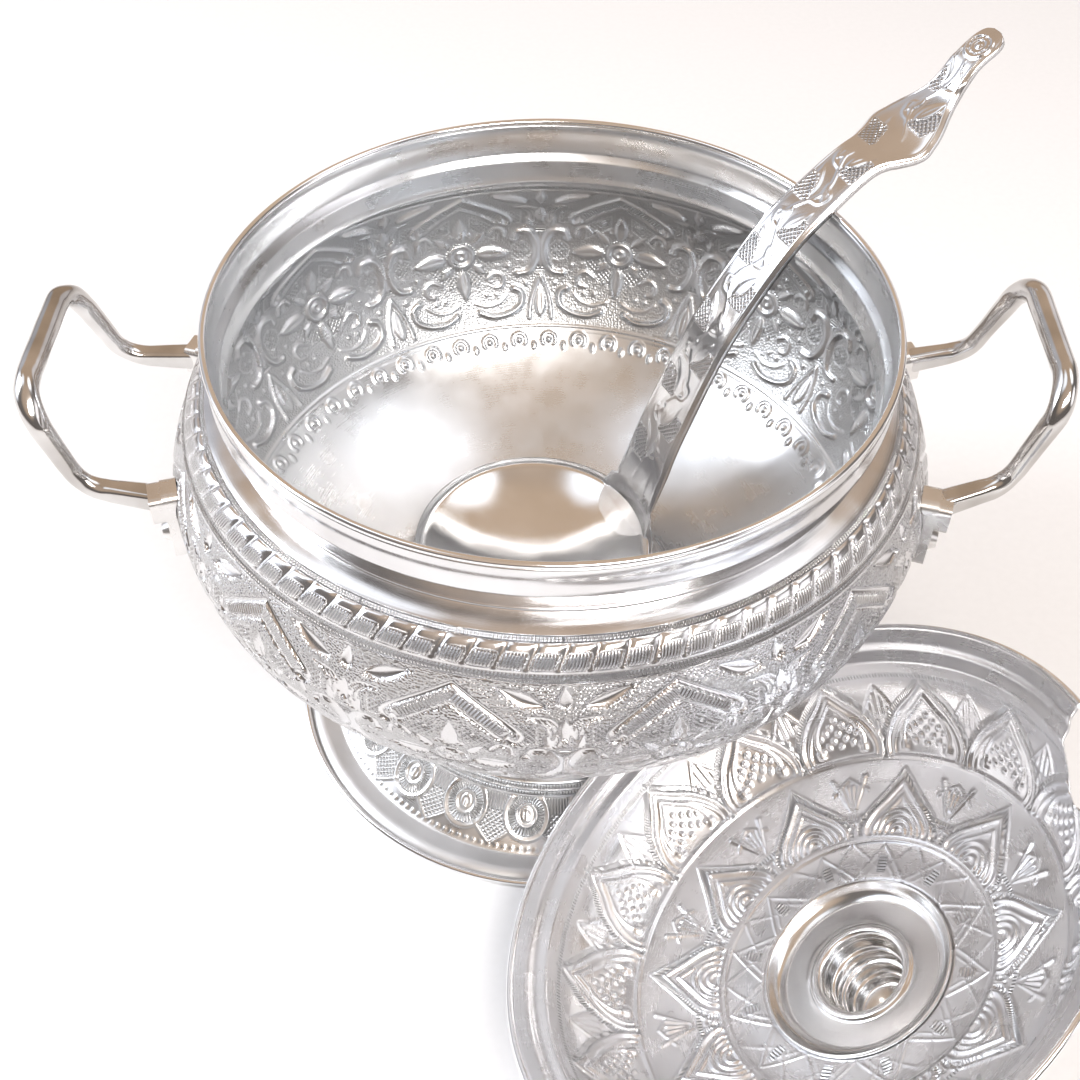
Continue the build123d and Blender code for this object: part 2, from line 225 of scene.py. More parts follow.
# ---- bowl frieze ----
def bowl_frieze(down, columns):
    """Relief of one repeat of the bowl's wall, over its distances down the wall and columns across the repeat."""
    across = (np.arange(columns) / columns - 0.5) * cell_width
    side, s = np.meshgrid(across, down)
    u = np.abs(side)
    edge = cell_width / 2
    made = Relief(u.shape)
    made.dots = band(s, 20.4, 81.5, 1.0)

    # slanted lobes of the gadroon border, which bulge outwards
    lobe = (side / cell_width * gadroons / bowl_repeats + 0.5 + 0.055 * (s - 12)) % 1
    fill = band(s, 8.9, 16.2, 1.2)
    made.height -= fill * np.clip(1 - (2 * lobe - 1) ** 4, 0, None) * (1 - 0.35 * lobe) * 0.95
    made.mark_ticks(side * 1.15 + s * 0.35, fill * band(s, 12.2, 15.8, 1.6) * band(lobe, 0.15, 0.8, 0.2))
    made.height -= ridge(s - 16.7, 0.32) * (0.75 + 0.25 * np.cos(2 * pi * lobe)) * 0.45
    made.height -= ridge(s - 19.9, 0.35) * 0.35
    made.mark_ticks(side + 0.5 * s, band(s, 17.2, 18.3, 0.3))
    made.mark_ticks(side - 0.5 * s, band(s, 18.5, 19.5, 0.3))
    made.mark_ticks(side, band(s, 7.1, 8.3, 0.4))

    # barred gable over each rosette
    made.lift(cord(u, s, [(0, 22.6), (8.6, 28.4), (15.6, 33.4), (19.2, 37.2), (17.8, 40.2), (15.4, 38.8)], 0.75), 0.95)
    bar, along = trace(u, s, [(0, 26.0), (7.6, 31.0), (14.6, 36.4)])
    made.mark_ticks(along, band(bar, -1, 1.35, 0.5))
    made.lift(cord(u, s, [(0, 28.9), (7.2, 33.6), (13.8, 38.9)], 0.42), 0.5)
    made.lift(bead(u, s, (15.9, 38.4), 1.4), 0.9)

    # rosette
    out = np.hypot(u, s - 52)
    made.lift(ridge(out - 4.3, 0.85), 1.15)
    made.lift(ridge(out - 1.5, 0.7), 0.9)
    made.mark_ticks(np.arctan2(s - 52, u) * 5.9, band(out, 5.3, 6.2, 0.4))
    made.lift(leaf(u, s, (5.6, 52), (19.0, 53.0), 3.3, 0.35), 1.05)
    made.lift(leaf(u, s, (0, 46.4), (0, 34.6), 2.9, 0.35), 1.0)
    made.lift(leaf(u, s, (0, 57.6), (0, 70.4), 2.9, 0.35), 1.0)
    made.lift(leaf(u, s, (4.0, 48.2), (10.0, 42.6), 1.5, 0.2), 0.6)
    made.lift(leaf(u, s, (4.0, 55.9), (9.2, 60.6), 1.5, 0.2), 0.6)

    # scrolls at the rosette's sides and under it
    scroll = [(20.6, 47.0), (22.0, 43.8), (26.4, 43.8), (29.2, 48.4), (29.4, 54.6), (26.6, 60.4), (22.0, 61.6)]
    far, along = trace(u, s, scroll)
    made.lift(ridge(far, 0.75 + 0.55 * np.sin(pi * np.clip(along / 30, 0, 1))), 1.1)
    made.lift(bead(u, s, (20.6, 47.0), 1.5), 1.1)
    made.lift(bead(u, s, (21.6, 61.2), 1.2), 1.0)
    made.lift(cord(u, s, [(11.2, 44.0), (13.4, 41.6), (16.2, 42.4), (17.0, 45.6)], 0.6), 0.75)
    made.lift(cord(u, s, [(9.4, 62.6), (12.8, 60.6), (15.8, 62.4), (15.2, 65.8), (12.6, 66.6)], 0.6), 0.75)
    foliage = [(20.2, 67.2), (23.0, 69.2), (22.6, 74.0), (17.6, 77.2), (10.6, 78.0), (5.2, 76.0)]
    made.lift(cord(u, s, foliage, 0.95), 1.1)
    made.lift(bead(u, s, (20.0, 67.4), 1.4), 1.1)
    made.lift(bead(u, s, (5.0, 75.6), 1.3), 1.1)
    made.lift(cord(u, s, [(3.2, 71.8), (8.4, 73.6), (13.8, 72.6), (17.2, 69.6)], 0.5), 0.6)

    # flames and smooth leaves where two repeats meet
    made.lift(leaf(u, s, (edge, 28.2), (edge, 20.6), 2.3), 1.1)
    made.lift(leaf(u, s, (25.8, 27.4), (11.4, 22.0), 2.5), 1.25)
    made.lift(leaf(u, s, (edge, 39.0), (edge, 31.0), 2.1, 0.2), 1.0)
    made.lift(leaf(u, s, (27.4, 41.6), (25.6, 36.2), 1.2), 0.7)
    for lead in (0.0, 1.7, 3.4):
        wave = [(20.8 + lead, 30.4), (24.0 + lead, 31.4), (26.6 + lead, 35.0), (26.2 + lead, 39.6), (23.4 + lead, 42.0)]
        made.lift(cord(u, s, wave, 0.34), 0.5)
    flame = [(edge, 62.4), (28.8, 67.2), (27.0, 72.6), (26.0, 79.6)]
    made.lift(cord(u, s, flame, 0.6), 0.95)
    made.lift(leaf(u, s, (edge, 79.0), (edge, 65.6), 3.0, 0.35), 0.9)
    made.lift(cord(u, s, [(edge, 45.0), (edge - 0.6, 52.0), (edge, 59.0)], 0.4), 0.45)
    for place in ((3.6, 43.2), (6.6, 38.4), (5.4, 64.2), (8.6, 69.2), (12.8, 69.4), (18.4, 58.2), (25.0, 65.6)):
        made.lift(bead(u, s, place, 1.0), 0.65)
    for place in ((7.6, 57.2), (14.2, 57.8), (22.4, 52.0), (25.2, 52.4), (23.8, 48.4), (24.0, 56.6)):
        made.lift(bead(u, s, place, 0.8), 0.5)

    # crossed strokes in the fields between
    field = band(u, 18.2, 23.2, 0.8) * band(s, 33.4, 39.4, 0.8)
    field += band(s - 0.62 * u, 32.4, 38.4, 0.8) * band(u, 4, 13, 1)
    field += band(out, 8.0, 13.5, 1.0) * band(s, 54.5, 66, 1.0) + band(np.hypot(u - 23.5, s - 52), -1, 3.6, 1.0)
    made.mark_hatch(side, s, np.clip(field, 0, 1) * (made.height < 0.12))
    made.mark_ticks(s, band(u, edge - 2.0, edge + 1, 0.6) * band(s, 42, 60.5, 1) * (made.height < 0.12))

    made.lift(ridge(s - 82.6, 0.4), 0.6)
    made.lift(ridge(s - 84.0, 0.28), 0.3)
    return made


def bowl_loops(made, down, azimuth):
    """Row of small arches and dots under the frieze."""
    turn, s = np.meshgrid(folded(azimuth, arches, arch_phase), down)
    x = turn * 112
    out = np.hypot(x, s - 88.2)
    made.lift(ridge(out - 2.9, 0.55) * band(s, 80, 90.2, 0.8), 0.75)
    made.lift(bead(x, s, (0, 88.0), 1.5), 0.9)
    made.lift(leaf(np.abs(x), s, (6.2, 92.0), (6.2, 88.6), 0.9), 0.5)


# ---- lid relief ----
def lid_relief(reach, climb, azimuth):
    """Relief over the inside of the lid, by radius and by distance up from the boss."""
    angle, r = np.meshgrid(azimuth, reach)
    y = np.repeat(climb[:, None], len(azimuth), axis=1)
    ring_a = np.interp(70.0, reach[::-1], climb[::-1])
    ring_b = np.interp(45.4, reach[::-1], climb[::-1])
    made = Relief(r.shape)

    # tall petals up the wall
    x = folded(angle, outer_petals, outer_petal_phase) * np.clip(r, 60, 86)
    up = y - ring_a
    wall = up > -0.6
    outline = [(13.0, -0.5), (14.4, 4.0), (13.2, 9.6), (9.6, 15.6), (4.4, 20.6), (0, 26.0)]
    level, far = petal_level(x, up + 0.01, outline)
    made.lift(wall * ridge((level - 1.0) * far, 0.62), 0.85)
    made.lift(wall * ridge((level - 0.83) * far, 0.5), 0.5)
    level_in, far_in = petal_level(x, up - 5.0, [(8.0, -0.2), (8.4, 3.0), (6.8, 7.6), (3.6, 11.4), (0, 15.6)])
    inside = wall * (up > 4.6)
    made.lift(wall * (up > 2.4) * ridge((level_in - 1) * far_in * np.where(up < 5, 0.4, 1), 0.5), 0.8)
    grain = np.clip(np.cos(2 * pi * x / 4.4) * np.cos(2 * pi * (up - 0.05 * x**2) / 4.8), 0, None)
    made.lift(inside * (level_in < 0.86) * grain, 0.75)
    made.mark_ticks(np.arctan2(up, x) * far, wall * band(level, 1.05, 1.15, 0.03))
    between = folded(angle, outer_petals, outer_petal_phase + 180 / outer_petals) * np.clip(r, 60, 86)
    fan = wall * band(up, 13.5, 24.5, 0.8)
    made.lift(fan * ridge(np.abs(between) - (24.5 - up) * 0.62, 0.42), 0.6)
    made.lift(fan * (np.abs(between) < (23.6 - up) * 0.5) * ridge(np.abs(between) % 2.2 - 1.1, 0.5), 0.5)
    made.lift(wall * ridge(np.abs(between) - 1.6, 0.45) * band(up, 0.5, 12, 1), 0.5)
    made.mark_ticks(between, wall * band(up, 27.5, 28.9, 0.5))

    made.lift(ridge(y - ring_a, 0.55), 0.7)

    # petals with nested arcs on the flat
    x = folded(angle, inner_petals, inner_petal_phase) * np.clip(r, 45, 70)
    up = y - ring_b
    flat = (up > 0.8) & (y < ring_a - 0.4)
    outer = [(13.6, 0), (15.0, 4.2), (12.2, 8.6), (6.6, 14.6), (0, 23.2)]
    level, far = petal_level(x, up, outer)
    made.lift(flat * ridge((level - 1) * far, 0.45), 0.5)
    made.mark_ticks(np.arctan2(up, x) * far, flat * band(level, 0.86, 0.97, 0.03))
    level, far = petal_level(x, up, [(11.0, 0), (11.8, 3.6), (9.6, 8.0), (5.0, 12.8), (0, 18.6)])
    made.lift(flat * ridge((level - 1) * far, 0.75), 1.0)
    made.lift(flat * ridge((level - 0.74) * far, 0.6), 0.85)
    for radius in (2.4, 4.6, 6.8):
        made.lift(flat * ridge(np.hypot(x, (up - 1.2) * 0.9) - radius, 0.55), 0.75)
    between = folded(angle, inner_petals, inner_petal_phase + 18) * np.clip(r, 45, 70)
    fan = flat * band(up, 9.5, 21.5, 0.6)
    spoke = np.arctan2(between, np.clip(up - 8.0, 0.5, None))
    made.lift(fan * ridge(np.abs(spoke) - 0.42, 0.05), 0.6)
    made.lift(fan * (np.abs(spoke) < 0.36) * ridge(np.abs(spoke) % 0.2 - 0.1, 0.045) * band(up, 12, 18.5, 0.8), 0.65)
    made.lift(fan * ridge(up - 20.6 + np.abs(between) * 0.7, 0.42) * (np.abs(between) < 6.5), 0.55)
    made.mark_ticks(between, flat * band(up, 7.0, 8.4, 0.4) * (np.abs(between) < 5))
    made.lift(flat * ridge(np.hypot(between, up - 3.2) - 2.6, 0.4), 0.5)

    made.lift(ridge(y - ring_b - 0.4, 0.45), 0.75)
    made.lift(ridge(y - ring_b + 1.1, 0.4), 0.6)

    # shallow star round the boss
    x = folded(angle, star_points, star_phase) * np.clip(r, 32, 45)
    up = y - np.interp(seat_radius + 1.5, reach[::-1], climb[::-1])
    core = (up > 0.4) & (up < ring_b - y[-1].mean())
    core = core & (y < ring_b - 1.6)
    made.lift(core * ridge(up - 11.4 + np.abs(x) * 1.35, 0.4), 0.4)
    made.lift(core * ridge(up - 7.6 + np.abs(x) * 1.35, 0.32), 0.28)
    made.mark_ticks(up, core * (np.abs(x) < 1.5) * band(up, 2, 7.5, 0.6))
    made.lift(core * ridge(up - 2.4 - np.abs(x) * 0.9, 0.35), 0.25)
    return made


# ---- foot relief ----
def foot_relief(radius, drop, azimuth):
    """Relief down the outside of the foot, by radius and by distance below the knurled ring."""
    angle, r = np.meshgrid(azimuth, radius)
    y = np.repeat(drop[:, None], len(azimuth), axis=1)
    made = Relief(r.shape)
    made.lift(ridge(y + 1.2, 0.8), 0.7)
    made.lift(ridge(y - 1.2, 0.8), 0.7)
    made.mark_ticks(angle * 66, band(np.abs(np.abs(y) - 1.2), -1, 0.75, 0.3))
    skirt = band(y, 3.2, 21.0, 0.5)
    x = folded(angle, medallions, medallion_phase) * 72
    out = np.hypot(x / 0.86, y - 9.4)
    made.lift(skirt * ridge(out - 9.0, 0.45), 0.6)
    made.lift(skirt * ridge(out - 8.0, 0.3), 0.35)
    made.mark_ticks(np.arctan2(y - 9.4, x) * 6.5, skirt * band(out, 4.7, 7.4, 0.4))
    made.lift(skirt * ridge(out - 4.2, 0.45), 0.7)
    made.lift(skirt * ridge(np.hypot(x / 0.6, y - 9.4) - 2.4, 0.4), 0.6)
    made.lift(skirt * leaf(x, y, (0, 12.2), (0, 6.6), 0.8), 0.6)
    edge = pi / medallions * 72
    sill = y - 21.6
    made.lift(skirt * ridge(sill + np.abs(edge - np.abs(x)) * 0.95, 0.35) * (np.abs(x) > 3), 0.55)
    gap = np.clip(-sill - np.abs(edge - np.abs(x)) * 0.95 - 0.6, 0, 1)
    made.mark_hatch(angle * 72, y, skirt * gap * (out > 9.8) * (y > 9))
    made.mark_ticks(angle * 72, skirt * (out > 9.8) * (y < 9) * 0.8)
    made.lift(band(y, 20.8, 22.6, 0.3) * np.clip(np.cos(angle * 180), 0, None), 0.35)
    return made


# ---- meshes ----
FIELDS = ("spin", "phase_a", "phase_b", "ticks", "hatch", "dots")


class Ring:
    """One ring of a turned mesh: its points, and its fields for the material."""

    def __init__(self, points, spin, relief=None, row=0):
        self.points = points
        count = len(points)
        self.fields = {name: np.zeros(count) for name in FIELDS}
        self.fields["spin"][:] = spin
        if relief is not None:
            for name in FIELDS[1:]:
                self.fields[name][:] = getattr(relief, name)[row]


def bridge(first, second, start_a, start_b):
    """Faces between two rings whose counts are equal, or multiples of each other, or one point."""
    a, b = first, second
    if a == b == 1:
        return []
    if a == b:
        i = np.arange(a)
        j = (i + 1) % a
        return np.stack([start_a + i, start_a + j, start_b + j, start_b + i], axis=1).tolist()
    if a == 1 or b == 1:
        n = max(a, b)
        i = np.arange(n)
        j = (i + 1) % n
        if b == 1:
            return np.stack([start_a + i, start_a + j, np.full(n, start_b)], axis=1).tolist()
        return np.stack([np.full(n, start_a), start_b + j, start_b + i], axis=1).tolist()
    faces = []
    step = max(a, b) // min(a, b)
    for i in range(min(a, b)):
        j = (i + 1) % min(a, b)
        fine = [(i * step + k) % max(a, b) for k in range(step + 1)]
        if a > b:
            faces.append([start_a + k for k in fine] + [start_b + j, start_b + i])
        else:
            faces.append([start_a + i, start_a + j] + [start_b + k for k in reversed(fine)])
    return faces


def build_mesh(name, points, faces, fields=None):
    """Smooth-shaded object of a closed mesh given in millimetres, facing outwards."""
    mesh = bpy.data.meshes.new(name)
    mesh.from_pydata((np.asarray(points) * MM).tolist(), [], faces)
    mesh.calc_loop_triangles()
    corners = np.empty(3 * len(mesh.loop_triangles), np.int32)
    mesh.loop_triangles.foreach_get("vertices", corners)
    a, b, c = np.asarray(points)[corners.reshape(-1, 3)].transpose(1, 0, 2)
    if np.einsum("ij,ij->i", a, np.cross(b, c)).sum() < 0:
        mesh.flip_normals()
    mesh.shade_smooth()
    for field, values in (fields or {}).items():
        mesh.attributes.new(field, "FLOAT", "POINT").data.foreach_set("value", np.asarray(values, np.float32))
    piece = bpy.data.objects.new(name, mesh)
    bpy.context.scene.collection.objects.link(piece)
    return piece


def turned(name, rings, closed, inner=None):
    """Mesh through rings in order; closed joins the last ring to the first; faces from ring inner on take slot 2."""
    starts = np.cumsum([0] + [len(r.points) for r in rings])
    faces = []
    outer_faces = 0
    for i in range(len(rings) - 1):
        if i == inner:
            outer_faces = len(faces)
        faces += bridge(len(rings[i].points), len(rings[i + 1].points), starts[i], starts[i + 1])
    if closed:
        faces += bridge(len(rings[-1].points), len(rings[0].points), starts[-2], 0)
    points = np.vstack([r.points for r in rings])
    fields = {f: np.concatenate([r.fields[f] for r in rings]) for f in FIELDS}
    piece = build_mesh(name, points, faces, fields)
    if inner is not None:
        slots = (np.arange(len(faces)) >= outer_faces).astype(np.int32)
        piece.data.materials.append(None)
        piece.data.materials.append(None)
        piece.data.polygons.foreach_set("material_index", slots)
    return piece


def resample(outline, spacing):
    """Evenly spaced places along a fine outline, with the outward normal and the distance to each."""
    outline = np.asarray(outline, float)
    gone = np.r_[0, np.cumsum(np.hypot(*np.diff(outline, axis=0).T))]
    count = max(2, int(round(gone[-1] / spacing)) + 1)
    s = np.linspace(0, gone[-1], count)
    place = np.stack([np.interp(s, gone, outline[:, 0]), np.interp(s, gone, outline[:, 1])], axis=1)
    way = np.gradient(place, axis=0)
    way /= np.hypot(*way.T)[:, None]
    return s, place, np.stack([-way[:, 1], way[:, 0]], axis=1)


def wander(azimuth, amount, waves):
    """Gentle uneven swing round a ring, as beaten sheet has."""
    swing = np.zeros_like(azimuth)
    for count in range(2, 2 + waves):
        swing += np.cos(count * azimuth + random.uniform(0, 2 * pi)) * random.uniform(0.3, 1) / count
    return amount * swing


# ---- bowl ----
def bowl_wall():
    """Outline of the bowl's outside from the neck's groove down to the base, as radius and height."""
    upper = smooth_line(
        [
            (neck_radius, neck_height),
            (shoulder_radius, shoulder_height),
            (knurl_radius, knurl_height),
            (flank_radius, flank_height),
            (belly_radius, belly_height),
        ],
        24,
    )
    sweep = asin((belly_height - base_height) / belly_drop)
    t = np.linspace(0, sweep, 160)[1:]
    lower = np.stack([belly_radius * np.cos(t), belly_height - belly_drop * np.sin(t)], axis=1)
    return np.vstack([upper, lower])


def circle(radius, height, azimuth):
    """Level ring of points."""
    return np.stack([radius * np.cos(azimuth), radius * np.sin(azimuth), np.full_like(azimuth, height)], axis=1)


azimuth = 2 * pi * np.arange(bowl_columns) / bowl_columns + radians(bowl_phase - 180 / bowl_repeats)
s_wall, wall, outward = resample(bowl_wall(), grid_step)
outward = np.where(outward[:, :1] < 0, -outward, outward)
relief_rows = int(np.searchsorted(s_wall, frieze_end))
frieze = bowl_frieze(s_wall[:relief_rows], bowl_columns // bowl_repeats).tiled(bowl_repeats)
bowl_loops(frieze, s_wall[:relief_rows], azimuth)
dents = wander(azimuth, 0.22, 9)


def wall_rings(inset):
    """Rings of the bowl's wall, set in by inset, from the neck's groove to the base."""
    rings = []
    skip = 0
    for i, (place, way) in enumerate(zip(wall, outward)):
        if i < relief_rows:
            lift = dents * np.clip(s_wall[i] / 20, 0, 1) - frieze.height[i] - inset
            r = place[0] + way[0] * lift
            z = place[1] + way[1] * lift
            points = np.stack([r * np.cos(azimuth), r * np.sin(azimuth), z], axis=1)
            rings.append(Ring(points, s_wall[i], frieze, i))
        else:
            skip += 1
            if skip % 3:
                continue
            few = azimuth[::4]
            fade = np.clip(1 - (s_wall[i] - frieze_end) / 12, 0, 1)
            lift = dents[::4] * fade - inset
            r = place[0] + way[0] * lift
            z = np.maximum(place[1] + way[1] * lift, base_height + inset)
            points = np.stack([r * np.cos(few), r * np.sin(few), z], axis=1)
            rings.append(Ring(points, s_wall[i]))
    return rings


def plain_rings(rows, turn):
    """Level rings from rows of radius, height and the lathe lines' distance."""
    return [Ring(circle(radius, height, turn), spin) for radius, height, spin in rows]


few = azimuth[::4]
outside = plain_rings(
    [
        (mouth_radius - 0.25, rim_height, -22),
        (mouth_radius, rim_height - 0.4, -21),
        (mouth_radius + 0.15, rim_height - 3.0, -19),
        (mouth_radius - 0.5, rim_height - 4.2, -18),
        (mouth_radius - 0.6, rim_height - 7.4, -15),
        (mouth_radius - 0.1, rim_height - 8.6, -14),
        (mouth_radius, ledge_height + 1.2, -11),
        (mouth_radius - 0.1, ledge_height + 0.3, -10),
        (lip_radius + 0.5, ledge_height - ledge_slope, -8),
        (lip_radius, ledge_height - ledge_slope - 0.9, -7),
        (lip_radius, lip_height + 1.0, -3),
        (lip_radius - 0.3, lip_height, -2),
        (neck_radius + 0.1, neck_height + 0.5, -0.6),
    ],
    few,
)
inside = plain_rings(
    [
        (mouth_radius - sheet + 0.25, rim_height, 22),
        (mouth_radius - sheet, rim_height - 0.4, 21),
        (mouth_radius - sheet - 0.2, rim_height - 3.2, 19),
        (mouth_radius - sheet + 0.1, rim_height - 4.2, 18),
        (mouth_radius - sheet, ledge_height + 1.2, 11),
        (mouth_radius - sheet - 0.2, ledge_height + 0.2, 10),
        (lip_radius - sheet + 0.4, ledge_height - ledge_slope + 0.3, 8),
        (lip_radius - sheet, ledge_height - ledge_slope - 0.6, 7),
        (lip_radius - sheet, lip_height + 0.6, 3),
        (neck_radius - sheet, neck_height + 0.4, 0.6),
    ],
    few,
)
floor_height = base_height + sheet
base_outside = [
    Ring(circle(base_radius - 2, base_height, few), 160),
    Ring(circle(base_radius / 2, base_height, few[::3]), 180),
    Ring(np.array([[0, 0, base_height]]), 200),
]
base_inside = [
    Ring(circle(base_radius - 3, floor_height, few), 160),
    Ring(circle(base_radius / 2, floor_height, few[::3]), 180),
    Ring(np.array([[0, 0, floor_height]]), 200),
]
outer_rings = outside + wall_rings(0) + base_outside
inner_rings = inside + wall_rings(sheet) + base_inside
bowl = turned("bowl_wall", outer_rings + inner_rings[::-1], closed=True, inner=len(outer_rings))
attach(bowl, "bowl")
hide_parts("bowl_shell")

# ---- foot ----
flare = smooth_line(
    [
        (waist_radius - 12, base_height),
        (waist_radius - 3.4, base_height - 3.6),
        (waist_radius, waist_height),
        (ring_radius, ring_height),
        (skirt_radius, 2 * sheet),
    ],
    30,
)
s_flare, flare, flare_out = resample(flare, 0.5)
flare_out = np.where(flare_out[:, :1] < 0, -flare_out, flare_out)
s_ring = np.interp(-ring_height, -flare[:, 1], s_flare)
first = int(np.searchsorted(s_flare, s_ring - 3.5))
foot_azimuth = 2 * pi * np.arange(foot_columns) / foot_columns
chased = foot_relief(flare[first:, 0], s_flare[first:] - s_ring, foot_azimuth)
foot_dents = wander(foot_azimuth, 0.12, 7)


def flare_rings(inset, step):
    """Rings down the foot's flare, set in by inset, with every step-th column."""
    rings = []
    turn = foot_azimuth[::step]
    for i, (place, way) in enumerate(zip(flare, flare_out)):
        if i < first and i % 4:
            continue
        fine = turn if i >= first else foot_azimuth[::3]
        lift = np.full(len(fine), -inset)
        if i >= first:
            lift = lift + chased.height[i - first][::step] + foot_dents[::step]
        r, z = place[0] + way[0] * lift, np.maximum(place[1] + way[1] * lift, 0.05)
        points = np.stack([r * np.cos(fine), r * np.sin(fine), z], axis=1)
        ring = Ring(points, s_flare[i])
        if i >= first and step == 1:
            ring = Ring(points, s_flare[i], chased, i - first)
        rings.append(ring)
    return rings


third = foot_azimuth[::3]
flange_outside = plain_rings(
    [
        (skirt_radius + 1.2, sheet + 0.15, 70),
        (skirt_radius + 2.0, sheet, 71),
        (foot_radius - 5.0, sheet + 0.08, 77),
        (foot_radius, sheet, 82),
    ],
    third,
)
flange_inside = plain_rings(
    [
        (skirt_radius + 1.6, 0, 71),
        (foot_radius - 5.0, 0, 77),
        (foot_radius, 0, 82),
    ],
    third,
)
top_outside = [Ring(np.array([[0, 0, base_height]]), 0), Ring(circle(waist_radius - 20, base_height, third), 10)]
top_inside = [
    Ring(np.array([[0, 0, base_height - sheet]]), 0),
    Ring(circle(waist_radius - 20, base_height - sheet, third), 10),
]
foot_outer = top_outside + flare_rings(0, 1) + flange_outside
foot_inner = top_inside + flare_rings(sheet, 3) + flange_inside
flange_start = len(foot_outer) - len(flange_outside)
foot = turned("foot_skin", foot_outer + foot_inner[::-1], closed=False, inner=flange_start)
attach(foot, "bowl")
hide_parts("foot_shell")

# ---- lid ----
low_way = radians(lid_low_azimuth)
tilt = radians(lid_tilt)
lid_axis = np.array([sin(tilt) * cos(low_way), sin(tilt) * sin(low_way), cos(tilt)])
lid_low = np.array([cos(tilt) * cos(low_way), cos(tilt) * sin(low_way), -sin(tilt)])
lid_side = np.cross(lid_axis, lid_low)
lid_edge = [(lid_radius - lid_wire_radius, 0), (91.9, -1.9), (91.3, -2.6), (90.6, -4.4), (89.6, -5.0), (86.9, -6.0)]
lid_bowl = smooth_line(
    [(86.9, -6.0), (85.6, -10.5), (82.4, -18.5), (70.0, -34.3), (45.4, -45.2), (seat_radius + 1.5, -47.6)], 30
)
lid_outline = np.vstack([np.array(lid_edge)[:-1], lid_bowl])
s_lid, lid_wall, lid_in = resample(lid_outline, grid_step)
lid_in = np.where(lid_in[:, 1:] < 0, -lid_in, lid_in)
lid_climb = s_lid[-1] - s_lid
lid_azimuth = 2 * pi * np.arange(lid_columns) / lid_columns + radians(notch_azimuth)
embossed = lid_relief(lid_wall[:, 0], lid_climb, lid_azimuth)
lid_dents = wander(lid_azimuth, 0.2, 9)


def lid_points(radius, height, turn):
    """Ring of points round the lid's own axis."""
    flat = np.cos(turn)[:, None] * lid_low + np.sin(turn)[:, None] * lid_side
    return lid_centre + np.multiply.outer(np.broadcast_to(height, turn.shape), lid_axis) + flat * np.reshape(
        np.broadcast_to(radius, turn.shape), (-1, 1)
    )


def notch_reach(turn, radius):
    """Radius held back to the notch's edge, which is a round-ended slot across the lid's rim."""
    off = (turn - radians(notch_azimuth) + pi) % (2 * pi) - pi
    half = notch_width / 2
    centre = notch_inner + half
    aside = np.abs(np.sin(off)) * radius
    slot = (np.abs(off) < 0.5) & (aside < half)
    depth = centre - np.sqrt(np.clip(half**2 - aside**2, 0, None))
    return np.where(slot, np.minimum(radius, depth / np.cos(off)), radius)


def lid_height(radius):
    """Height of the lid's inside at a radius."""
    return np.interp(radius, lid_wall[::-1, 0], lid_wall[::-1, 1])


def lid_rings(out):
    """Rings of the lid from its edge in to the knob's seat, set out by out."""
    rings = []
    for i, (place, way) in enumerate(zip(lid_wall, lid_in)):
        fade = np.clip((s_lid[i] - 6) / 8, 0, 1) * np.clip(lid_climb[i] / 8, 0, 1)
        lift = embossed.height[i] + lid_dents * fade - out
        radius = place[0] + way[0] * lift
        held = notch_reach(lid_azimuth, radius)
        height = np.where(held < radius, lid_height(held) - out, place[1] + way[1] * lift)
        rings.append(Ring(lid_points(held, height, lid_azimuth), s_lid[i], embossed, i))
    seat = lid_azimuth[::4]
    for radius, height in ((seat_radius, -48.9), (26.0, -52.4), (collar_radius, -52.6)):
        rings.append(Ring(lid_points(radius, height - out, seat), 150 - radius))
    return rings


lid = turned("lid_skin", lid_rings(0) + lid_rings(lid_sheet)[::-1], closed=True)
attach(lid, "lid")
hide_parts("lid_shell")



def lid_turned(name, outline, columns=240):
    """Mesh turned round the lid's axis from a smoothed closed outline of radius and height; poles where it meets it."""
    s, places = resample(smooth_line(outline, 10), 0.35)[:2]
    turn = 2 * pi * np.arange(columns) / columns
    rings = [
        Ring(lid_points(radius, height, turn if radius > 0.01 else turn[:1]), gone)
        for gone, (radius, height) in zip(s, places)
    ]
    return turned(name, rings, closed=len(rings[0].points) > 1)


seat_outline = [
    (30.8, -47.6), (30.4, -46.7), (29.8, -47.0), (27.8, -49.8), (25.6, -51.2), (24.4, -51.4), (20.0, -51.5),
    (17.2, -51.3), (16.0, -50.6), (14.6, -50.5), (13.4, -51.4), (13.0, -53.2), (13.6, -53.4), (15.0, -52.6),
    (20.0, -52.4), (26.0, -52.2), (29.6, -49.0),
]
seat = lid_turned("knob_seat", seat_outline)
knob_outline = [
    (0, -73.4), (8.6, -72.9), (9.2, -69.2), (10.5, -67.8), (10.4, -64.0), (11.9, -62.8), (11.5, -58.6),
    (12.7, -57.2), (12.9, -53.4), (14.2, -53.0), (21.3, -52.9), (19.5, -55.8), (15.2, -57.6), (12.8, -61.0),
    (12.9, -66.0), (11.4, -70.6), (9.0, -73.8), (6.6, -76.0), (0, -76.0),
]
knob = lid_turned("knob_skin", knob_outline)
for piece, node in ((seat, "knob_seat_ring"), (knob, "knob_shell")):
    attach(piece, "lid")
    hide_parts(node)

# ---- ladle ----
scoop_box = box_mm("ladle_scoop")
scoop_x, scoop_y = (scoop_box[0][:2] + scoop_box[1][:2]) / 2
scoop_radius = (scoop_box[1][0] - scoop_box[0][0]) / 2
scoop_low, scoop_high = scoop_box[0][2], scoop_box[1][2]
ladle_sheet = 1.4
ladle_azimuth = 27.0
scoop_depth = scoop_high - scoop_low
scoop_curve = (scoop_radius**2 + scoop_depth**2) / (2 * scoop_depth)
scoop_turn = 2 * pi * np.arange(240) / 240


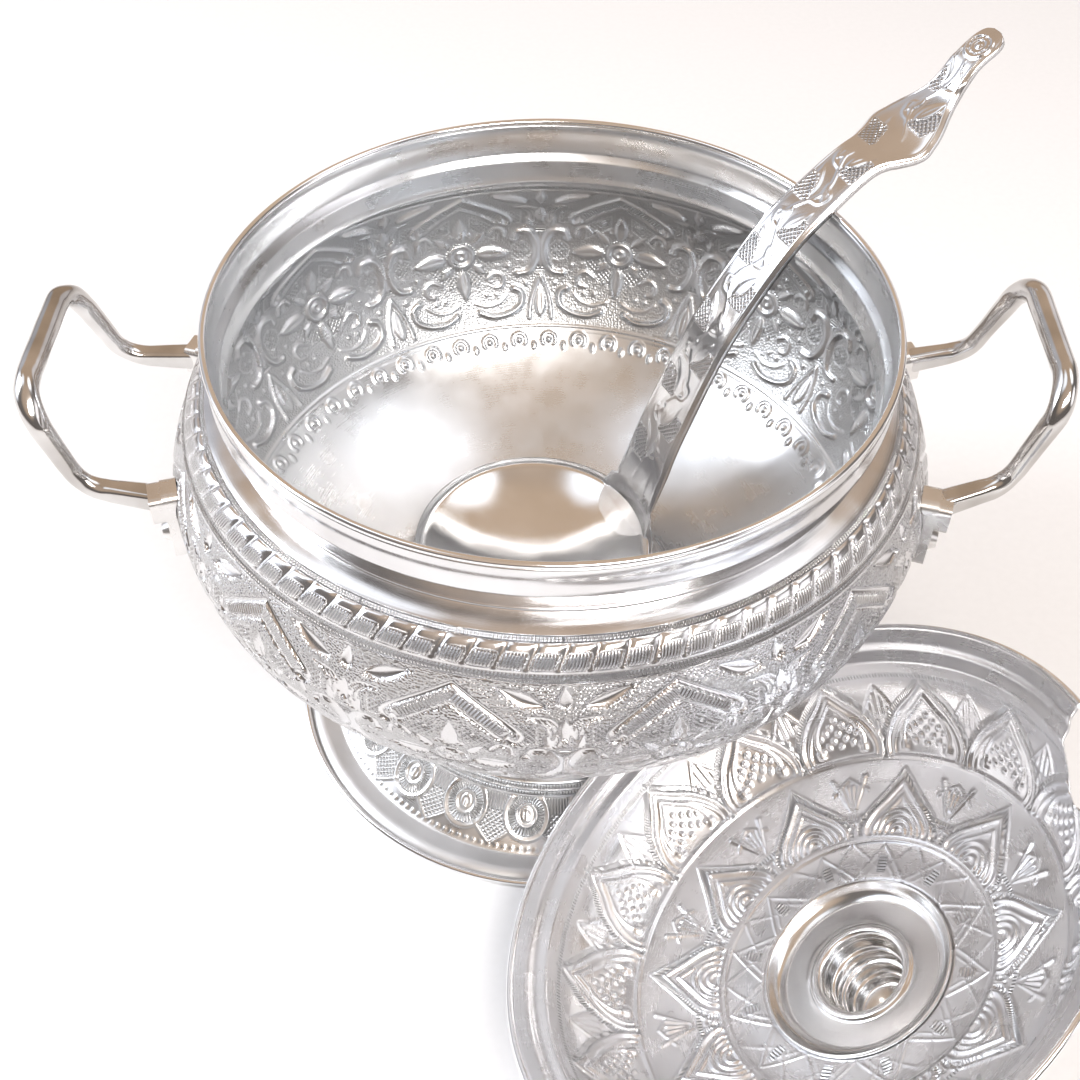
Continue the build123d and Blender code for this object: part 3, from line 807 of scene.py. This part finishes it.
def scoop_rings(curve, reach, count):
    """Rings of one face of the scoop, from its rim in to the middle."""
    centre_z = scoop_low + scoop_curve
    rings = []
    for share in np.linspace(1, 0.04, count):
        radius = reach * share
        height = centre_z - sqrt(curve**2 - radius**2)
        points = circle(radius, height, scoop_turn) + [scoop_x, scoop_y, 0]
        rings.append(Ring(points, radius))
    rings.append(Ring(np.array([[scoop_x, scoop_y, centre_z - curve]]), 0))
    return rings


inner_curve = scoop_curve - ladle_sheet
inner_reach = sqrt(inner_curve**2 - (scoop_curve - scoop_depth) ** 2)
rim_round = [
    Ring(circle(radius, scoop_high + rise, scoop_turn) + [scoop_x, scoop_y, 0], radius)
    for radius, rise in ((scoop_radius - 0.25, -0.15), (scoop_radius - 0.7, 0.0), (inner_reach - 0.2, -0.25))
]
scoop = turned(
    "ladle_bowl",
    scoop_rings(scoop_curve, scoop_radius, 30)[::-1] + rim_round + scoop_rings(inner_curve, inner_reach - 1.2, 30),
    closed=False,
)
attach(scoop, "ladle")
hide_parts("ladle_scoop")



def scoop_floor(reach):
    """Height of the scoop's inside at a distance from its middle."""
    return scoop_low + scoop_curve - np.sqrt(inner_curve**2 - np.minimum(reach, inner_reach) ** 2)


handle_curve = [
    (scoop_radius - 17.0, scoop_floor(scoop_radius - 17.0)),
    (scoop_radius - 9.0, scoop_floor(scoop_radius - 9.0)),
    (scoop_radius - 2.4, scoop_high - 1.6),
    (42.0, 74.0),
    (46.6, 94.0),
    (55.3, 117.0),
    (64.9, 138.6),
    (75.7, 156.0),
    (88.3, 172.6),
    (100.8, 183.2),
    (114.1, 192.3),
    (128.4, 196.6),
    (141.9, 206.8),
    (151.0, 218.0),
    (161.2, 225.0),
]
half_widths = [
    (scoop_radius - 17.0, 5.0), (scoop_radius - 14.0, 12.0), (scoop_radius - 8.0, 16.0),
    (scoop_radius - 1.5, 17.0), (scoop_radius + 0.6, 14.4), (43.0, 12.6), (55.0, 11.2), (96.0, 9.9),
    (116.0, 9.6), (123.0, 11.6), (129.0, 14.2), (133.0, 13.2), (136.6, 11.4), (143.0, 7.2), (150.0, 5.8),
    (157.0, 5.8), (160.0, 4.6), (161.2, 2.0),
]
ladle_way = np.array([cos(radians(ladle_azimuth)), sin(radians(ladle_azimuth)), 0])
ladle_aside = np.array([-ladle_way[1], ladle_way[0], 0])


def handle_relief(x, t, half, start, length):
    """Engraving of the ladle's handle, across x and along t, from a step at start to the tip at length."""
    made = Relief(x.shape)
    panel = band(t, start, length - 13, 1)
    room = half - 1.6
    stem = 0.34 * room * np.sin(2 * pi * t / 27)
    made.lift(panel * ridge(x - stem, 0.5) * (np.abs(x) < room), 0.26)
    for flip in (1, -1):
        reach = (t + (0 if flip > 0 else 13.5)) % 27
        across = x * flip
        made.lift(panel * leaf(across, reach, (-1.0, 2.0), (-0.62 * 9.8, 12.6), 2.2, 0.4), 0.36)
        made.lift(panel * leaf(across, reach, (1.4, 9.0), (0.55 * 9.8, 2.2), 1.5, 0.3), 0.3)
        made.lift(panel * cord(across, reach, [(-1, 14.5), (-4.6, 15.6), (-5.6, 19.2), (-3.2, 20.6)], 0.5), 0.28)
        made.lift(panel * bead(across, reach, (-3.4, 18.4), 1.0), 0.28)
        corner = panel * band(across - 0.42 * (reach - 16), 1.2, 9, 0.8) * band(reach, 13, 22, 0.8)
        made.mark_hatch(x, t, corner * (np.abs(x) < room - 0.3) * (made.height < 0.1))
    border = np.abs(x) - (half - 1.5)
    made.lift(ridge(border, 0.4) * band(t, start, length - 10, 1), 0.3)
    made.height += 0.5 * np.clip(t - start + 0.5, 0, 1) * np.clip(1 - (t - start) / 30, 0, 1)
    head = band(t, length - 62, length - 20, 8)
    made.height += head * (1 - np.clip(np.abs(x) / half, 0, 1)) * 0.8
    tip = np.hypot(x, t - (length - 7.2))
    made.height *= 1 - band(tip, -1, 5.2, 0.6)
    made.lift(ridge(tip - 4.2, 0.5), 0.6)
    made.lift(ridge(tip - 2.5, 0.4), 0.45)
    made.lift(np.clip(1 - (tip / 1.3) ** 2, 0, None), 0.7)
    made.lift(ridge(tip - 3.4 - 0.5 * np.cos(6 * np.arctan2(x, t - (length - 7.2))), 0.3), 0.4)
    return made


lanes = 57  # points across the handle


def strip():
    """The ladle's handle as one closed sheet."""
    spine = smooth_line(handle_curve, 40)
    t, spine, _ = resample(spine, 0.5)
    way = np.gradient(spine, axis=0)
    way /= np.hypot(*way.T)[:, None]
    up = np.stack([-way[:, 1], way[:, 0]], axis=1)
    table = smooth_line(half_widths, 12)
    half = np.interp(spine[:, 0], table[:, 0], table[:, 1])
    share = np.sin(np.linspace(-pi / 2, pi / 2, lanes)) * 0.55 + np.linspace(-1, 1, lanes) * 0.45
    x = half[:, None] * share[None, :]
    root = np.interp(scoop_radius, spine[: len(spine) // 3, 0], t[: len(spine) // 3])
    made = handle_relief(x, np.repeat(t[:, None], lanes, axis=1), half[:, None], root + 2.5, t[-1])
    free = np.clip((t - root + 3.0) / 14, 0, 1)[:, None]
    free = free * free * (3 - 2 * free)
    rolled = -1.3 * np.abs(share) ** 9
    lift = made.height + rolled[None, :] * np.clip((half[:, None] - 2) / 6, 0.3, 1)
    faces, sides = [], []
    origin = np.array([scoop_x, scoop_y, 0])
    for offset in (0.0, -ladle_sheet):
        level = lift + offset
        flat = spine[:, 0:1] + up[:, 0:1] * level
        high = spine[:, 1:2] + up[:, 1:2] * level
        held = np.minimum(spine[:, 0:1], np.sqrt(np.maximum((inner_reach - 0.3) ** 2 - x**2, 0)))
        swell = (1 - np.abs(share[None, :]) ** 3) * np.clip(t[:, None] / 10, 0, 1)
        cover = scoop_floor(np.hypot(held, x)) - 0.25 + 0.6 * swell + 0.4 * offset
        flat, high = held + (flat - held) * free, cover + (high - cover) * free
        place = origin + flat[..., None] * ladle_way + x[..., None] * ladle_aside
        place[..., 2] = high
        sides.append(place.reshape(-1, 3))
    rows, columns = x.shape
    grid = np.arange(rows * columns).reshape(rows, columns)
    under = grid + rows * columns
    faces += np.stack([grid[:-1, :-1], grid[:-1, 1:], grid[1:, 1:], grid[1:, :-1]], -1).reshape(-1, 4).tolist()
    faces += np.stack([under[:-1, :-1], under[1:, :-1], under[1:, 1:], under[:-1, 1:]], -1).reshape(-1, 4).tolist()
    for a, b in ((grid[:, 0], under[:, 0]), (under[:, -1], grid[:, -1])):
        faces += np.stack([a[:-1], a[1:], b[1:], b[:-1]], -1).tolist()
    for a, b in ((under[0], grid[0]), (grid[-1], under[-1])):
        faces += np.stack([a[:-1], a[1:], b[1:], b[:-1]], -1).tolist()
    fields = {f: np.tile(getattr(made, f).ravel(), 2) for f in FIELDS[1:]}
    fields["spin"] = np.tile(x.ravel(), 2)
    return build_mesh("ladle_grip", np.vstack(sides), faces, fields)


grip = strip()
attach(grip, "ladle")
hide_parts("ladle_handle")

# ---- handles ----
rod = 6.8
arm_radius, grip_radius = 3.0, 3.7
bend = 13.0
arm_y = 34.0
square_end, grip_start, grip_ease = 26, 32, 22  # distances along the rod from its end


def filleted(points, radius, steps=14):
    """Places along straight runs whose corners are rounded to a radius."""
    points = [np.asarray(p, float) for p in points]
    out = [points[0]]
    for before, corner, after in zip(points, points[1:], points[2:]):
        a = (before - corner) / np.linalg.norm(before - corner)
        b = (after - corner) / np.linalg.norm(after - corner)
        half = np.arccos(np.clip(a @ b, -1, 1)) / 2
        reach = radius / np.tan(half)
        middle = corner + (a + b) / np.linalg.norm(a + b) * radius / sin(half)
        start, end = corner + a * reach - middle, corner + b * reach - middle
        whole = np.arccos(np.clip(start @ end / radius**2, -1, 1))
        for k in np.linspace(0, 1, steps):
            out.append(middle + (sin((1 - k) * whole) * start + sin(k * whole) * end) / sin(whole))
    out.append(points[-1])
    return np.array(out)


def rod_handle(name, side, node):
    """Rod handle whose section grows squarer towards its ends, hammered a little uneven at its bends."""
    low, high = box_mm(node)
    outer = (high[0] if side > 0 else -low[0]) - rod / 2
    top = high[2] - rod / 2
    start_x = (low[0] if side > 0 else -high[0]) + 0.6
    arm_z = low[2] + rod / 2 + 0.2
    half_route = [(start_x, arm_y, arm_z), (outer - 12.0, arm_y - 2.6, top - 33.0), (outer, arm_y - 6.0, top)]
    half_route = [(side * x, y, z) for x, y, z in half_route]
    route = filleted(half_route + [(x, -y, z) for x, y, z in reversed(half_route)], bend)
    gone = np.r_[0, np.cumsum(np.linalg.norm(np.diff(route, axis=0), axis=1))]
    t = np.linspace(0, gone[-1], 260)
    line = np.stack([np.interp(t, gone, route[:, k]) for k in range(3)], axis=1)
    way = np.gradient(line, axis=0)
    way /= np.linalg.norm(way, axis=1)[:, None]
    first = np.cross(way[0], (0, 0, 1))
    frame_a = [first / np.linalg.norm(first)]
    for tangent in way[1:]:
        a = frame_a[-1] - tangent * (frame_a[-1] @ tangent)
        frame_a.append(a / np.linalg.norm(a))
    frame_a = np.array(frame_a)
    frame_b = np.cross(way, frame_a)
    from_end = np.minimum(t, t[-1] - t)
    near_end = np.clip(1 - from_end / square_end, 0, 1)
    held = np.clip((from_end - grip_start) / grip_ease, 0, 1)
    bending = np.linalg.norm(np.gradient(way, t, axis=0), axis=1) * bend
    turn = 2 * pi * np.arange(32) / 32
    wobble = wander(t / t[-1] * 2 * pi, 0.10, 12)
    rings = []
    for k in range(len(t)):
        power = 2 + 3.2 * near_end[k]
        radius = (np.abs(np.cos(turn)) ** power + np.abs(np.sin(turn)) ** power) ** (-1 / power)
        dent = 1 + 0.035 * bending[k] * np.cos(3 * turn + 5 * t[k] / bend)
        radius = radius * dent * (arm_radius + (grip_radius - arm_radius) * held[k] + wobble[k] + 0.5 * near_end[k])
        ring = line[k] + np.outer(np.cos(turn) * radius, frame_a[k]) + np.outer(np.sin(turn) * radius, frame_b[k])
        rings.append(Ring(ring, t[k]))
    ends = [Ring(line[:1], 0), Ring(line[-1:], t[-1])]
    piece = turned(name, ends[:1] + rings + ends[1:], closed=False)
    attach(piece, "bowl")
    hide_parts(node)
    return piece


rods = [rod_handle("left_rod", -1, "handle_left"), rod_handle("right_rod", 1, "handle_right")]


# ---- materials ----
class Graph:
    """Short names for building one material's nodes."""

    def __init__(self, name):
        self.material = bpy.data.materials.new(name)
        self.material.use_nodes = True
        self.tree = self.material.node_tree
        self.shader = self.tree.nodes["Principled BSDF"]

    def link(self, output, socket):
        self.tree.links.new(output, socket)

    def math(self, operation, a, b=0.0):
        node = self.tree.nodes.new("ShaderNodeMath")
        node.operation = operation
        for socket, value in zip(node.inputs, (a, b)):
            if isinstance(value, (int, float)):
                socket.default_value = value
            else:
                self.link(value, socket)
        return node.outputs[0]

    def field(self, name):
        node = self.tree.nodes.new("ShaderNodeAttribute")
        node.attribute_name = name
        return node.outputs["Fac"]

    def place(self):
        return self.tree.nodes.new("ShaderNodeTexCoord").outputs["Object"]

    def noise(self, scale, detail=2.0, along=None):
        node = self.tree.nodes.new("ShaderNodeTexNoise")
        node.inputs["Scale"].default_value = scale
        node.inputs["Detail"].default_value = detail
        if along is None:
            self.link(self.place(), node.inputs["Vector"])
        else:
            node.noise_dimensions = "1D"
            self.link(along, node.inputs["W"])
        return node.outputs["Fac"]

    def spread(self, value, low, high):
        node = self.tree.nodes.new("ShaderNodeMapRange")
        node.inputs["From Min"].default_value = 0.3
        node.inputs["From Max"].default_value = 0.7
        node.inputs["To Min"].default_value = low
        node.inputs["To Max"].default_value = high
        self.link(value, node.inputs["Value"])
        return node.outputs["Result"]

    def blend(self, amount, a, b):
        node = self.tree.nodes.new("ShaderNodeMix")
        node.data_type = "RGBA"
        self.link(amount, node.inputs["Factor"])
        for socket, value in ((node.inputs["A"], a), (node.inputs["B"], b)):
            if isinstance(value, tuple):
                socket.default_value = (*value, 1)
            else:
                self.link(value, socket)
        return node.outputs["Result"]

    def bump(self, height, depth, under=None):
        node = self.tree.nodes.new("ShaderNodeBump")
        node.inputs["Strength"].default_value = 1.0
        node.inputs["Distance"].default_value = depth
        self.link(height, node.inputs["Height"])
        if under is not None:
            self.link(under, node.inputs["Normal"])
        return node.outputs["Normal"]


def metal(name, bright, dull, polish, swell=0.0, spun=0.0, tooled=0.0):
    """Polished aluminium: tints, roughness range, and depths in metres of swells, lathe lines and tooling."""
    g = Graph(name)
    stain = g.spread(g.noise(38.0, 3.0), 0.0, 1.0)
    colour = g.blend(stain, dull, bright)
    rough = g.spread(g.noise(90.0, 4.0), *polish)
    normal = g.bump(g.noise(5200.0, 2.0), 0.000006)
    if swell:
        normal = g.bump(g.noise(55.0, 1.0), swell, normal)
    if spun:
        lines = g.noise(2.6, 3.0, along=g.field("spin"))
        normal = g.bump(lines, spun, normal)
        rough = g.math("ADD", rough, g.math("MULTIPLY", lines, 0.08))
    if tooled:
        a, b = g.field("phase_a"), g.field("phase_b")
        ticks, hatch, dots = g.field("ticks"), g.field("hatch"), g.field("dots")
        strokes = g.math("MULTIPLY", g.math("SINE", g.math("MULTIPLY", a, 2 * pi / 1.1)), ticks)
        one = g.math("SINE", g.math("MULTIPLY", g.math("ADD", a, b), 2 * pi / 1.9))
        two = g.math("SINE", g.math("MULTIPLY", g.math("SUBTRACT", a, b), 2 * pi / 1.9))
        crossed = g.math("MULTIPLY", g.math("MAXIMUM", one, two), hatch)
        cells = g.tree.nodes.new("ShaderNodeTexVoronoi")
        cells.inputs["Scale"].default_value = 1150.0
        cells.inputs["Randomness"].default_value = 0.75
        g.link(g.place(), cells.inputs["Vector"])
        punched = g.math("MULTIPLY", g.math("MULTIPLY", cells.outputs["Distance"], 2.0), dots)
        marks = g.math("ADD", g.math("ADD", strokes, crossed), punched)
        normal = g.bump(marks, tooled, normal)
        worked = g.math("MULTIPLY", g.math("MAXIMUM", g.math("MAXIMUM", ticks, hatch), dots), 0.6)
        colour = g.blend(worked, colour, tuple(0.68 * c for c in dull))
        rough = g.math("ADD", rough, g.math("MULTIPLY", worked, 0.1))
    g.link(colour, g.shader.inputs["Base Color"])
    g.link(rough, g.shader.inputs["Roughness"])
    g.link(normal, g.shader.inputs["Normal"])
    g.shader.inputs["Metallic"].default_value = 1.0
    return g.material


silver, pewter = (0.80, 0.80, 0.81), (0.66, 0.65, 0.65)
embossed_metal = metal("embossed_outside", silver, pewter, (0.10, 0.22), 0.00035, 0.00001, 0.00022)
inner_metal = metal("embossed_inside", (0.86, 0.87, 0.89), (0.76, 0.77, 0.78), (0.20, 0.32), 0.00025, 0.000006, 0.00009)
satin_metal = metal("satin", (0.70, 0.70, 0.71), (0.60, 0.60, 0.60), (0.34, 0.46), 0.0002, 0.00001)
lid_metal = metal("lid_sheet", (0.88, 0.88, 0.90), (0.78, 0.78, 0.79), (0.18, 0.30), 0.0003, 0.000012, 0.00012)
foot_metal = metal("foot_sheet", (0.84, 0.84, 0.85), (0.74, 0.74, 0.74), (0.20, 0.32), 0.0003, 0.00001, 0.0002)
edge_metal = metal("edge", (0.93, 0.93, 0.94), (0.84, 0.84, 0.85), (0.06, 0.14), 0.0001)
rod_metal = metal("rod", (0.76, 0.75, 0.74), (0.44, 0.42, 0.40), (0.07, 0.16), 0.0007)
cast_metal = metal("cast", (0.84, 0.83, 0.82), (0.68, 0.66, 0.64), (0.16, 0.34), 0.0008)
spun_metal = metal("spun", (0.88, 0.88, 0.88), (0.80, 0.79, 0.78), (0.12, 0.20), 0.0001)
scoop_metal = metal("scoop", (0.88, 0.88, 0.89), (0.80, 0.79, 0.78), (0.07, 0.15), 0.00025)
grip_metal = metal("grip", silver, pewter, (0.10, 0.22), 0.0002, 0.0, 0.00016)

for piece, material, second in (
    (bowl, embossed_metal, inner_metal),
    (foot, foot_metal, satin_metal),
    (lid, lid_metal, None),
    (scoop, scoop_metal, None),
    (grip, grip_metal, None),
    (rods[0], rod_metal, None),
    (rods[1], rod_metal, None),
    (seat, spun_metal, None),
    (knob, spun_metal, None),
):
    if second:
        piece.data.materials[0] = material
        piece.data.materials[1] = second
    else:
        piece.data.materials.append(material)

finishes = {
    "rim_wire": edge_metal,
    "foot_edge_wire": edge_metal,
    "lid_edge_wire": edge_metal,
    "foot_rivet": cast_metal,
    "foot_washer": cast_metal,
    "knob_seat_ring": spun_metal,
    "knob_shell": spun_metal,
    "knob_tip": spun_metal,
}
for node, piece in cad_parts.items():
    material = finishes.get(node, cast_metal)
    if not piece.data.materials:
        piece.data.materials.append(material)
    for slot in piece.material_slots:
        slot.material = material

# ---- floor, light and camera ----
floor_mesh = bpy.data.meshes.new("floor")
floor_mesh.from_pydata([(-6, -3, 0), (6, -3, 0), (6, 12, 0), (-6, 12, 0)], [], [(0, 1, 2, 3)])
floor = bpy.data.objects.new("floor", floor_mesh)
bpy.context.scene.collection.objects.link(floor)
paper = Graph("paper")
grain = paper.spread(paper.noise(300.0, 3.0), 0.0, 1.0)
paper.link(paper.blend(grain, (0.91, 0.92, 0.935), (0.93, 0.94, 0.955)), paper.shader.inputs["Base Color"])
paper.shader.inputs["Roughness"].default_value = 0.7
floor_mesh.materials.append(paper.material)
floor.location.z = -0.0003


def soft_light(name, place, target, size, power, colour):
    """Square area light at a place, facing a target."""
    light = bpy.data.lights.new(name, "AREA")
    light.shape = "RECTANGLE"
    light.size, light.size_y = size
    light.energy = power
    light.color = colour
    lamp = bpy.data.objects.new(name, light)
    lamp.location = place
    lamp.rotation_euler = (Vector(target) - Vector(place)).to_track_quat("-Z", "Y").to_euler()
    bpy.context.scene.collection.objects.link(lamp)


target = (0, 0, 0.1)
soft_light("lamp", (0.4, -1.0, 1.15), target, (0.8, 0.4), 13.5, (1.0, 0.99, 0.98))
soft_light("window", (-1.15, 0.0, 0.95), target, (0.4, 0.5), 10.5, (0.93, 0.96, 1.0))

# the room seen in the metal: patches of colour round a dim surround, each with its middle, half width and edge
room = bpy.data.worlds.new("room")
room.use_nodes = True
tree = room.node_tree
background = tree.nodes["Background"]
where = tree.nodes.new("ShaderNodeTexCoord").outputs["Generated"]
surround = (0.20, 0.18, 0.17, 1)
patches = [
    ((0.0, 0.70, 0.70), 46, 24, (0.60, 0.45, 0.33, 1)),
    ((0.0, -0.55, 0.83), 32, 20, (0.62, 0.48, 0.37, 1)),
    ((-0.92, 0.15, 0.36), 20, 10, (1.9, 2.0, 2.2, 1)),
    ((-0.65, 0.68, 0.32), 16, 14, (0.62, 0.62, 0.66, 1)),
    ((0.50, 0.10, 0.86), 14, 10, (2.0, 2.0, 2.05, 1)),
    ((-0.45, 0.05, 0.89), 12, 10, (1.5, 1.55, 1.65, 1)),
    ((0.90, -0.30, 0.30), 15, 8, (1.7, 1.65, 1.7, 1)),
    ((0.55, 0.75, 0.25), 12, 10, (0.9, 0.85, 0.85, 1)),
]
colour = None
for middle, half_width, edge, tint in patches:
    facing = tree.nodes.new("ShaderNodeVectorMath")
    facing.operation = "DOT_PRODUCT"
    facing.inputs[1].default_value = Vector(middle).normalized()
    tree.links.new(where, facing.inputs[0])
    soften = tree.nodes.new("ShaderNodeMapRange")
    soften.interpolation_type = "SMOOTHSTEP"
    soften.inputs["From Min"].default_value = cos(radians(half_width + edge / 2))
    soften.inputs["From Max"].default_value = cos(radians(half_width - edge / 2))
    tree.links.new(facing.outputs["Value"], soften.inputs["Value"])
    mix = tree.nodes.new("ShaderNodeMix")
    mix.data_type = "RGBA"
    tree.links.new(soften.outputs["Result"], mix.inputs["Factor"])
    mix.inputs["B"].default_value = tint
    if colour is None:
        mix.inputs["A"].default_value = surround
    else:
        tree.links.new(colour, mix.inputs["A"])
    colour = mix.outputs["Result"]
tree.links.new(colour, background.inputs["Color"])
bpy.context.scene.world = room
bpy.context.scene.view_settings.view_transform = "Standard"

camera_data = bpy.data.cameras.new("camera")
camera_data.lens = 47.67
camera_data.sensor_width = 36
camera_data.sensor_fit = "HORIZONTAL"
camera_data.clip_start = 0.01
camera = bpy.data.objects.new("camera", camera_data)
right = Vector((0.9998428, 0.01631804, 0.00693514))
up = Vector((-0.01669266, 0.73445571, 0.6784513))
back = Vector((0.00597744, -0.67846042, 0.73461264))
turn = Matrix((right, up, back)).transposed().to_4x4()
camera.matrix_world = Matrix.Translation((0, -0.34088, 0.44531)) @ turn
bpy.context.scene.collection.objects.link(camera)
bpy.context.scene.camera = camera

bpy.context.view_layer.update()
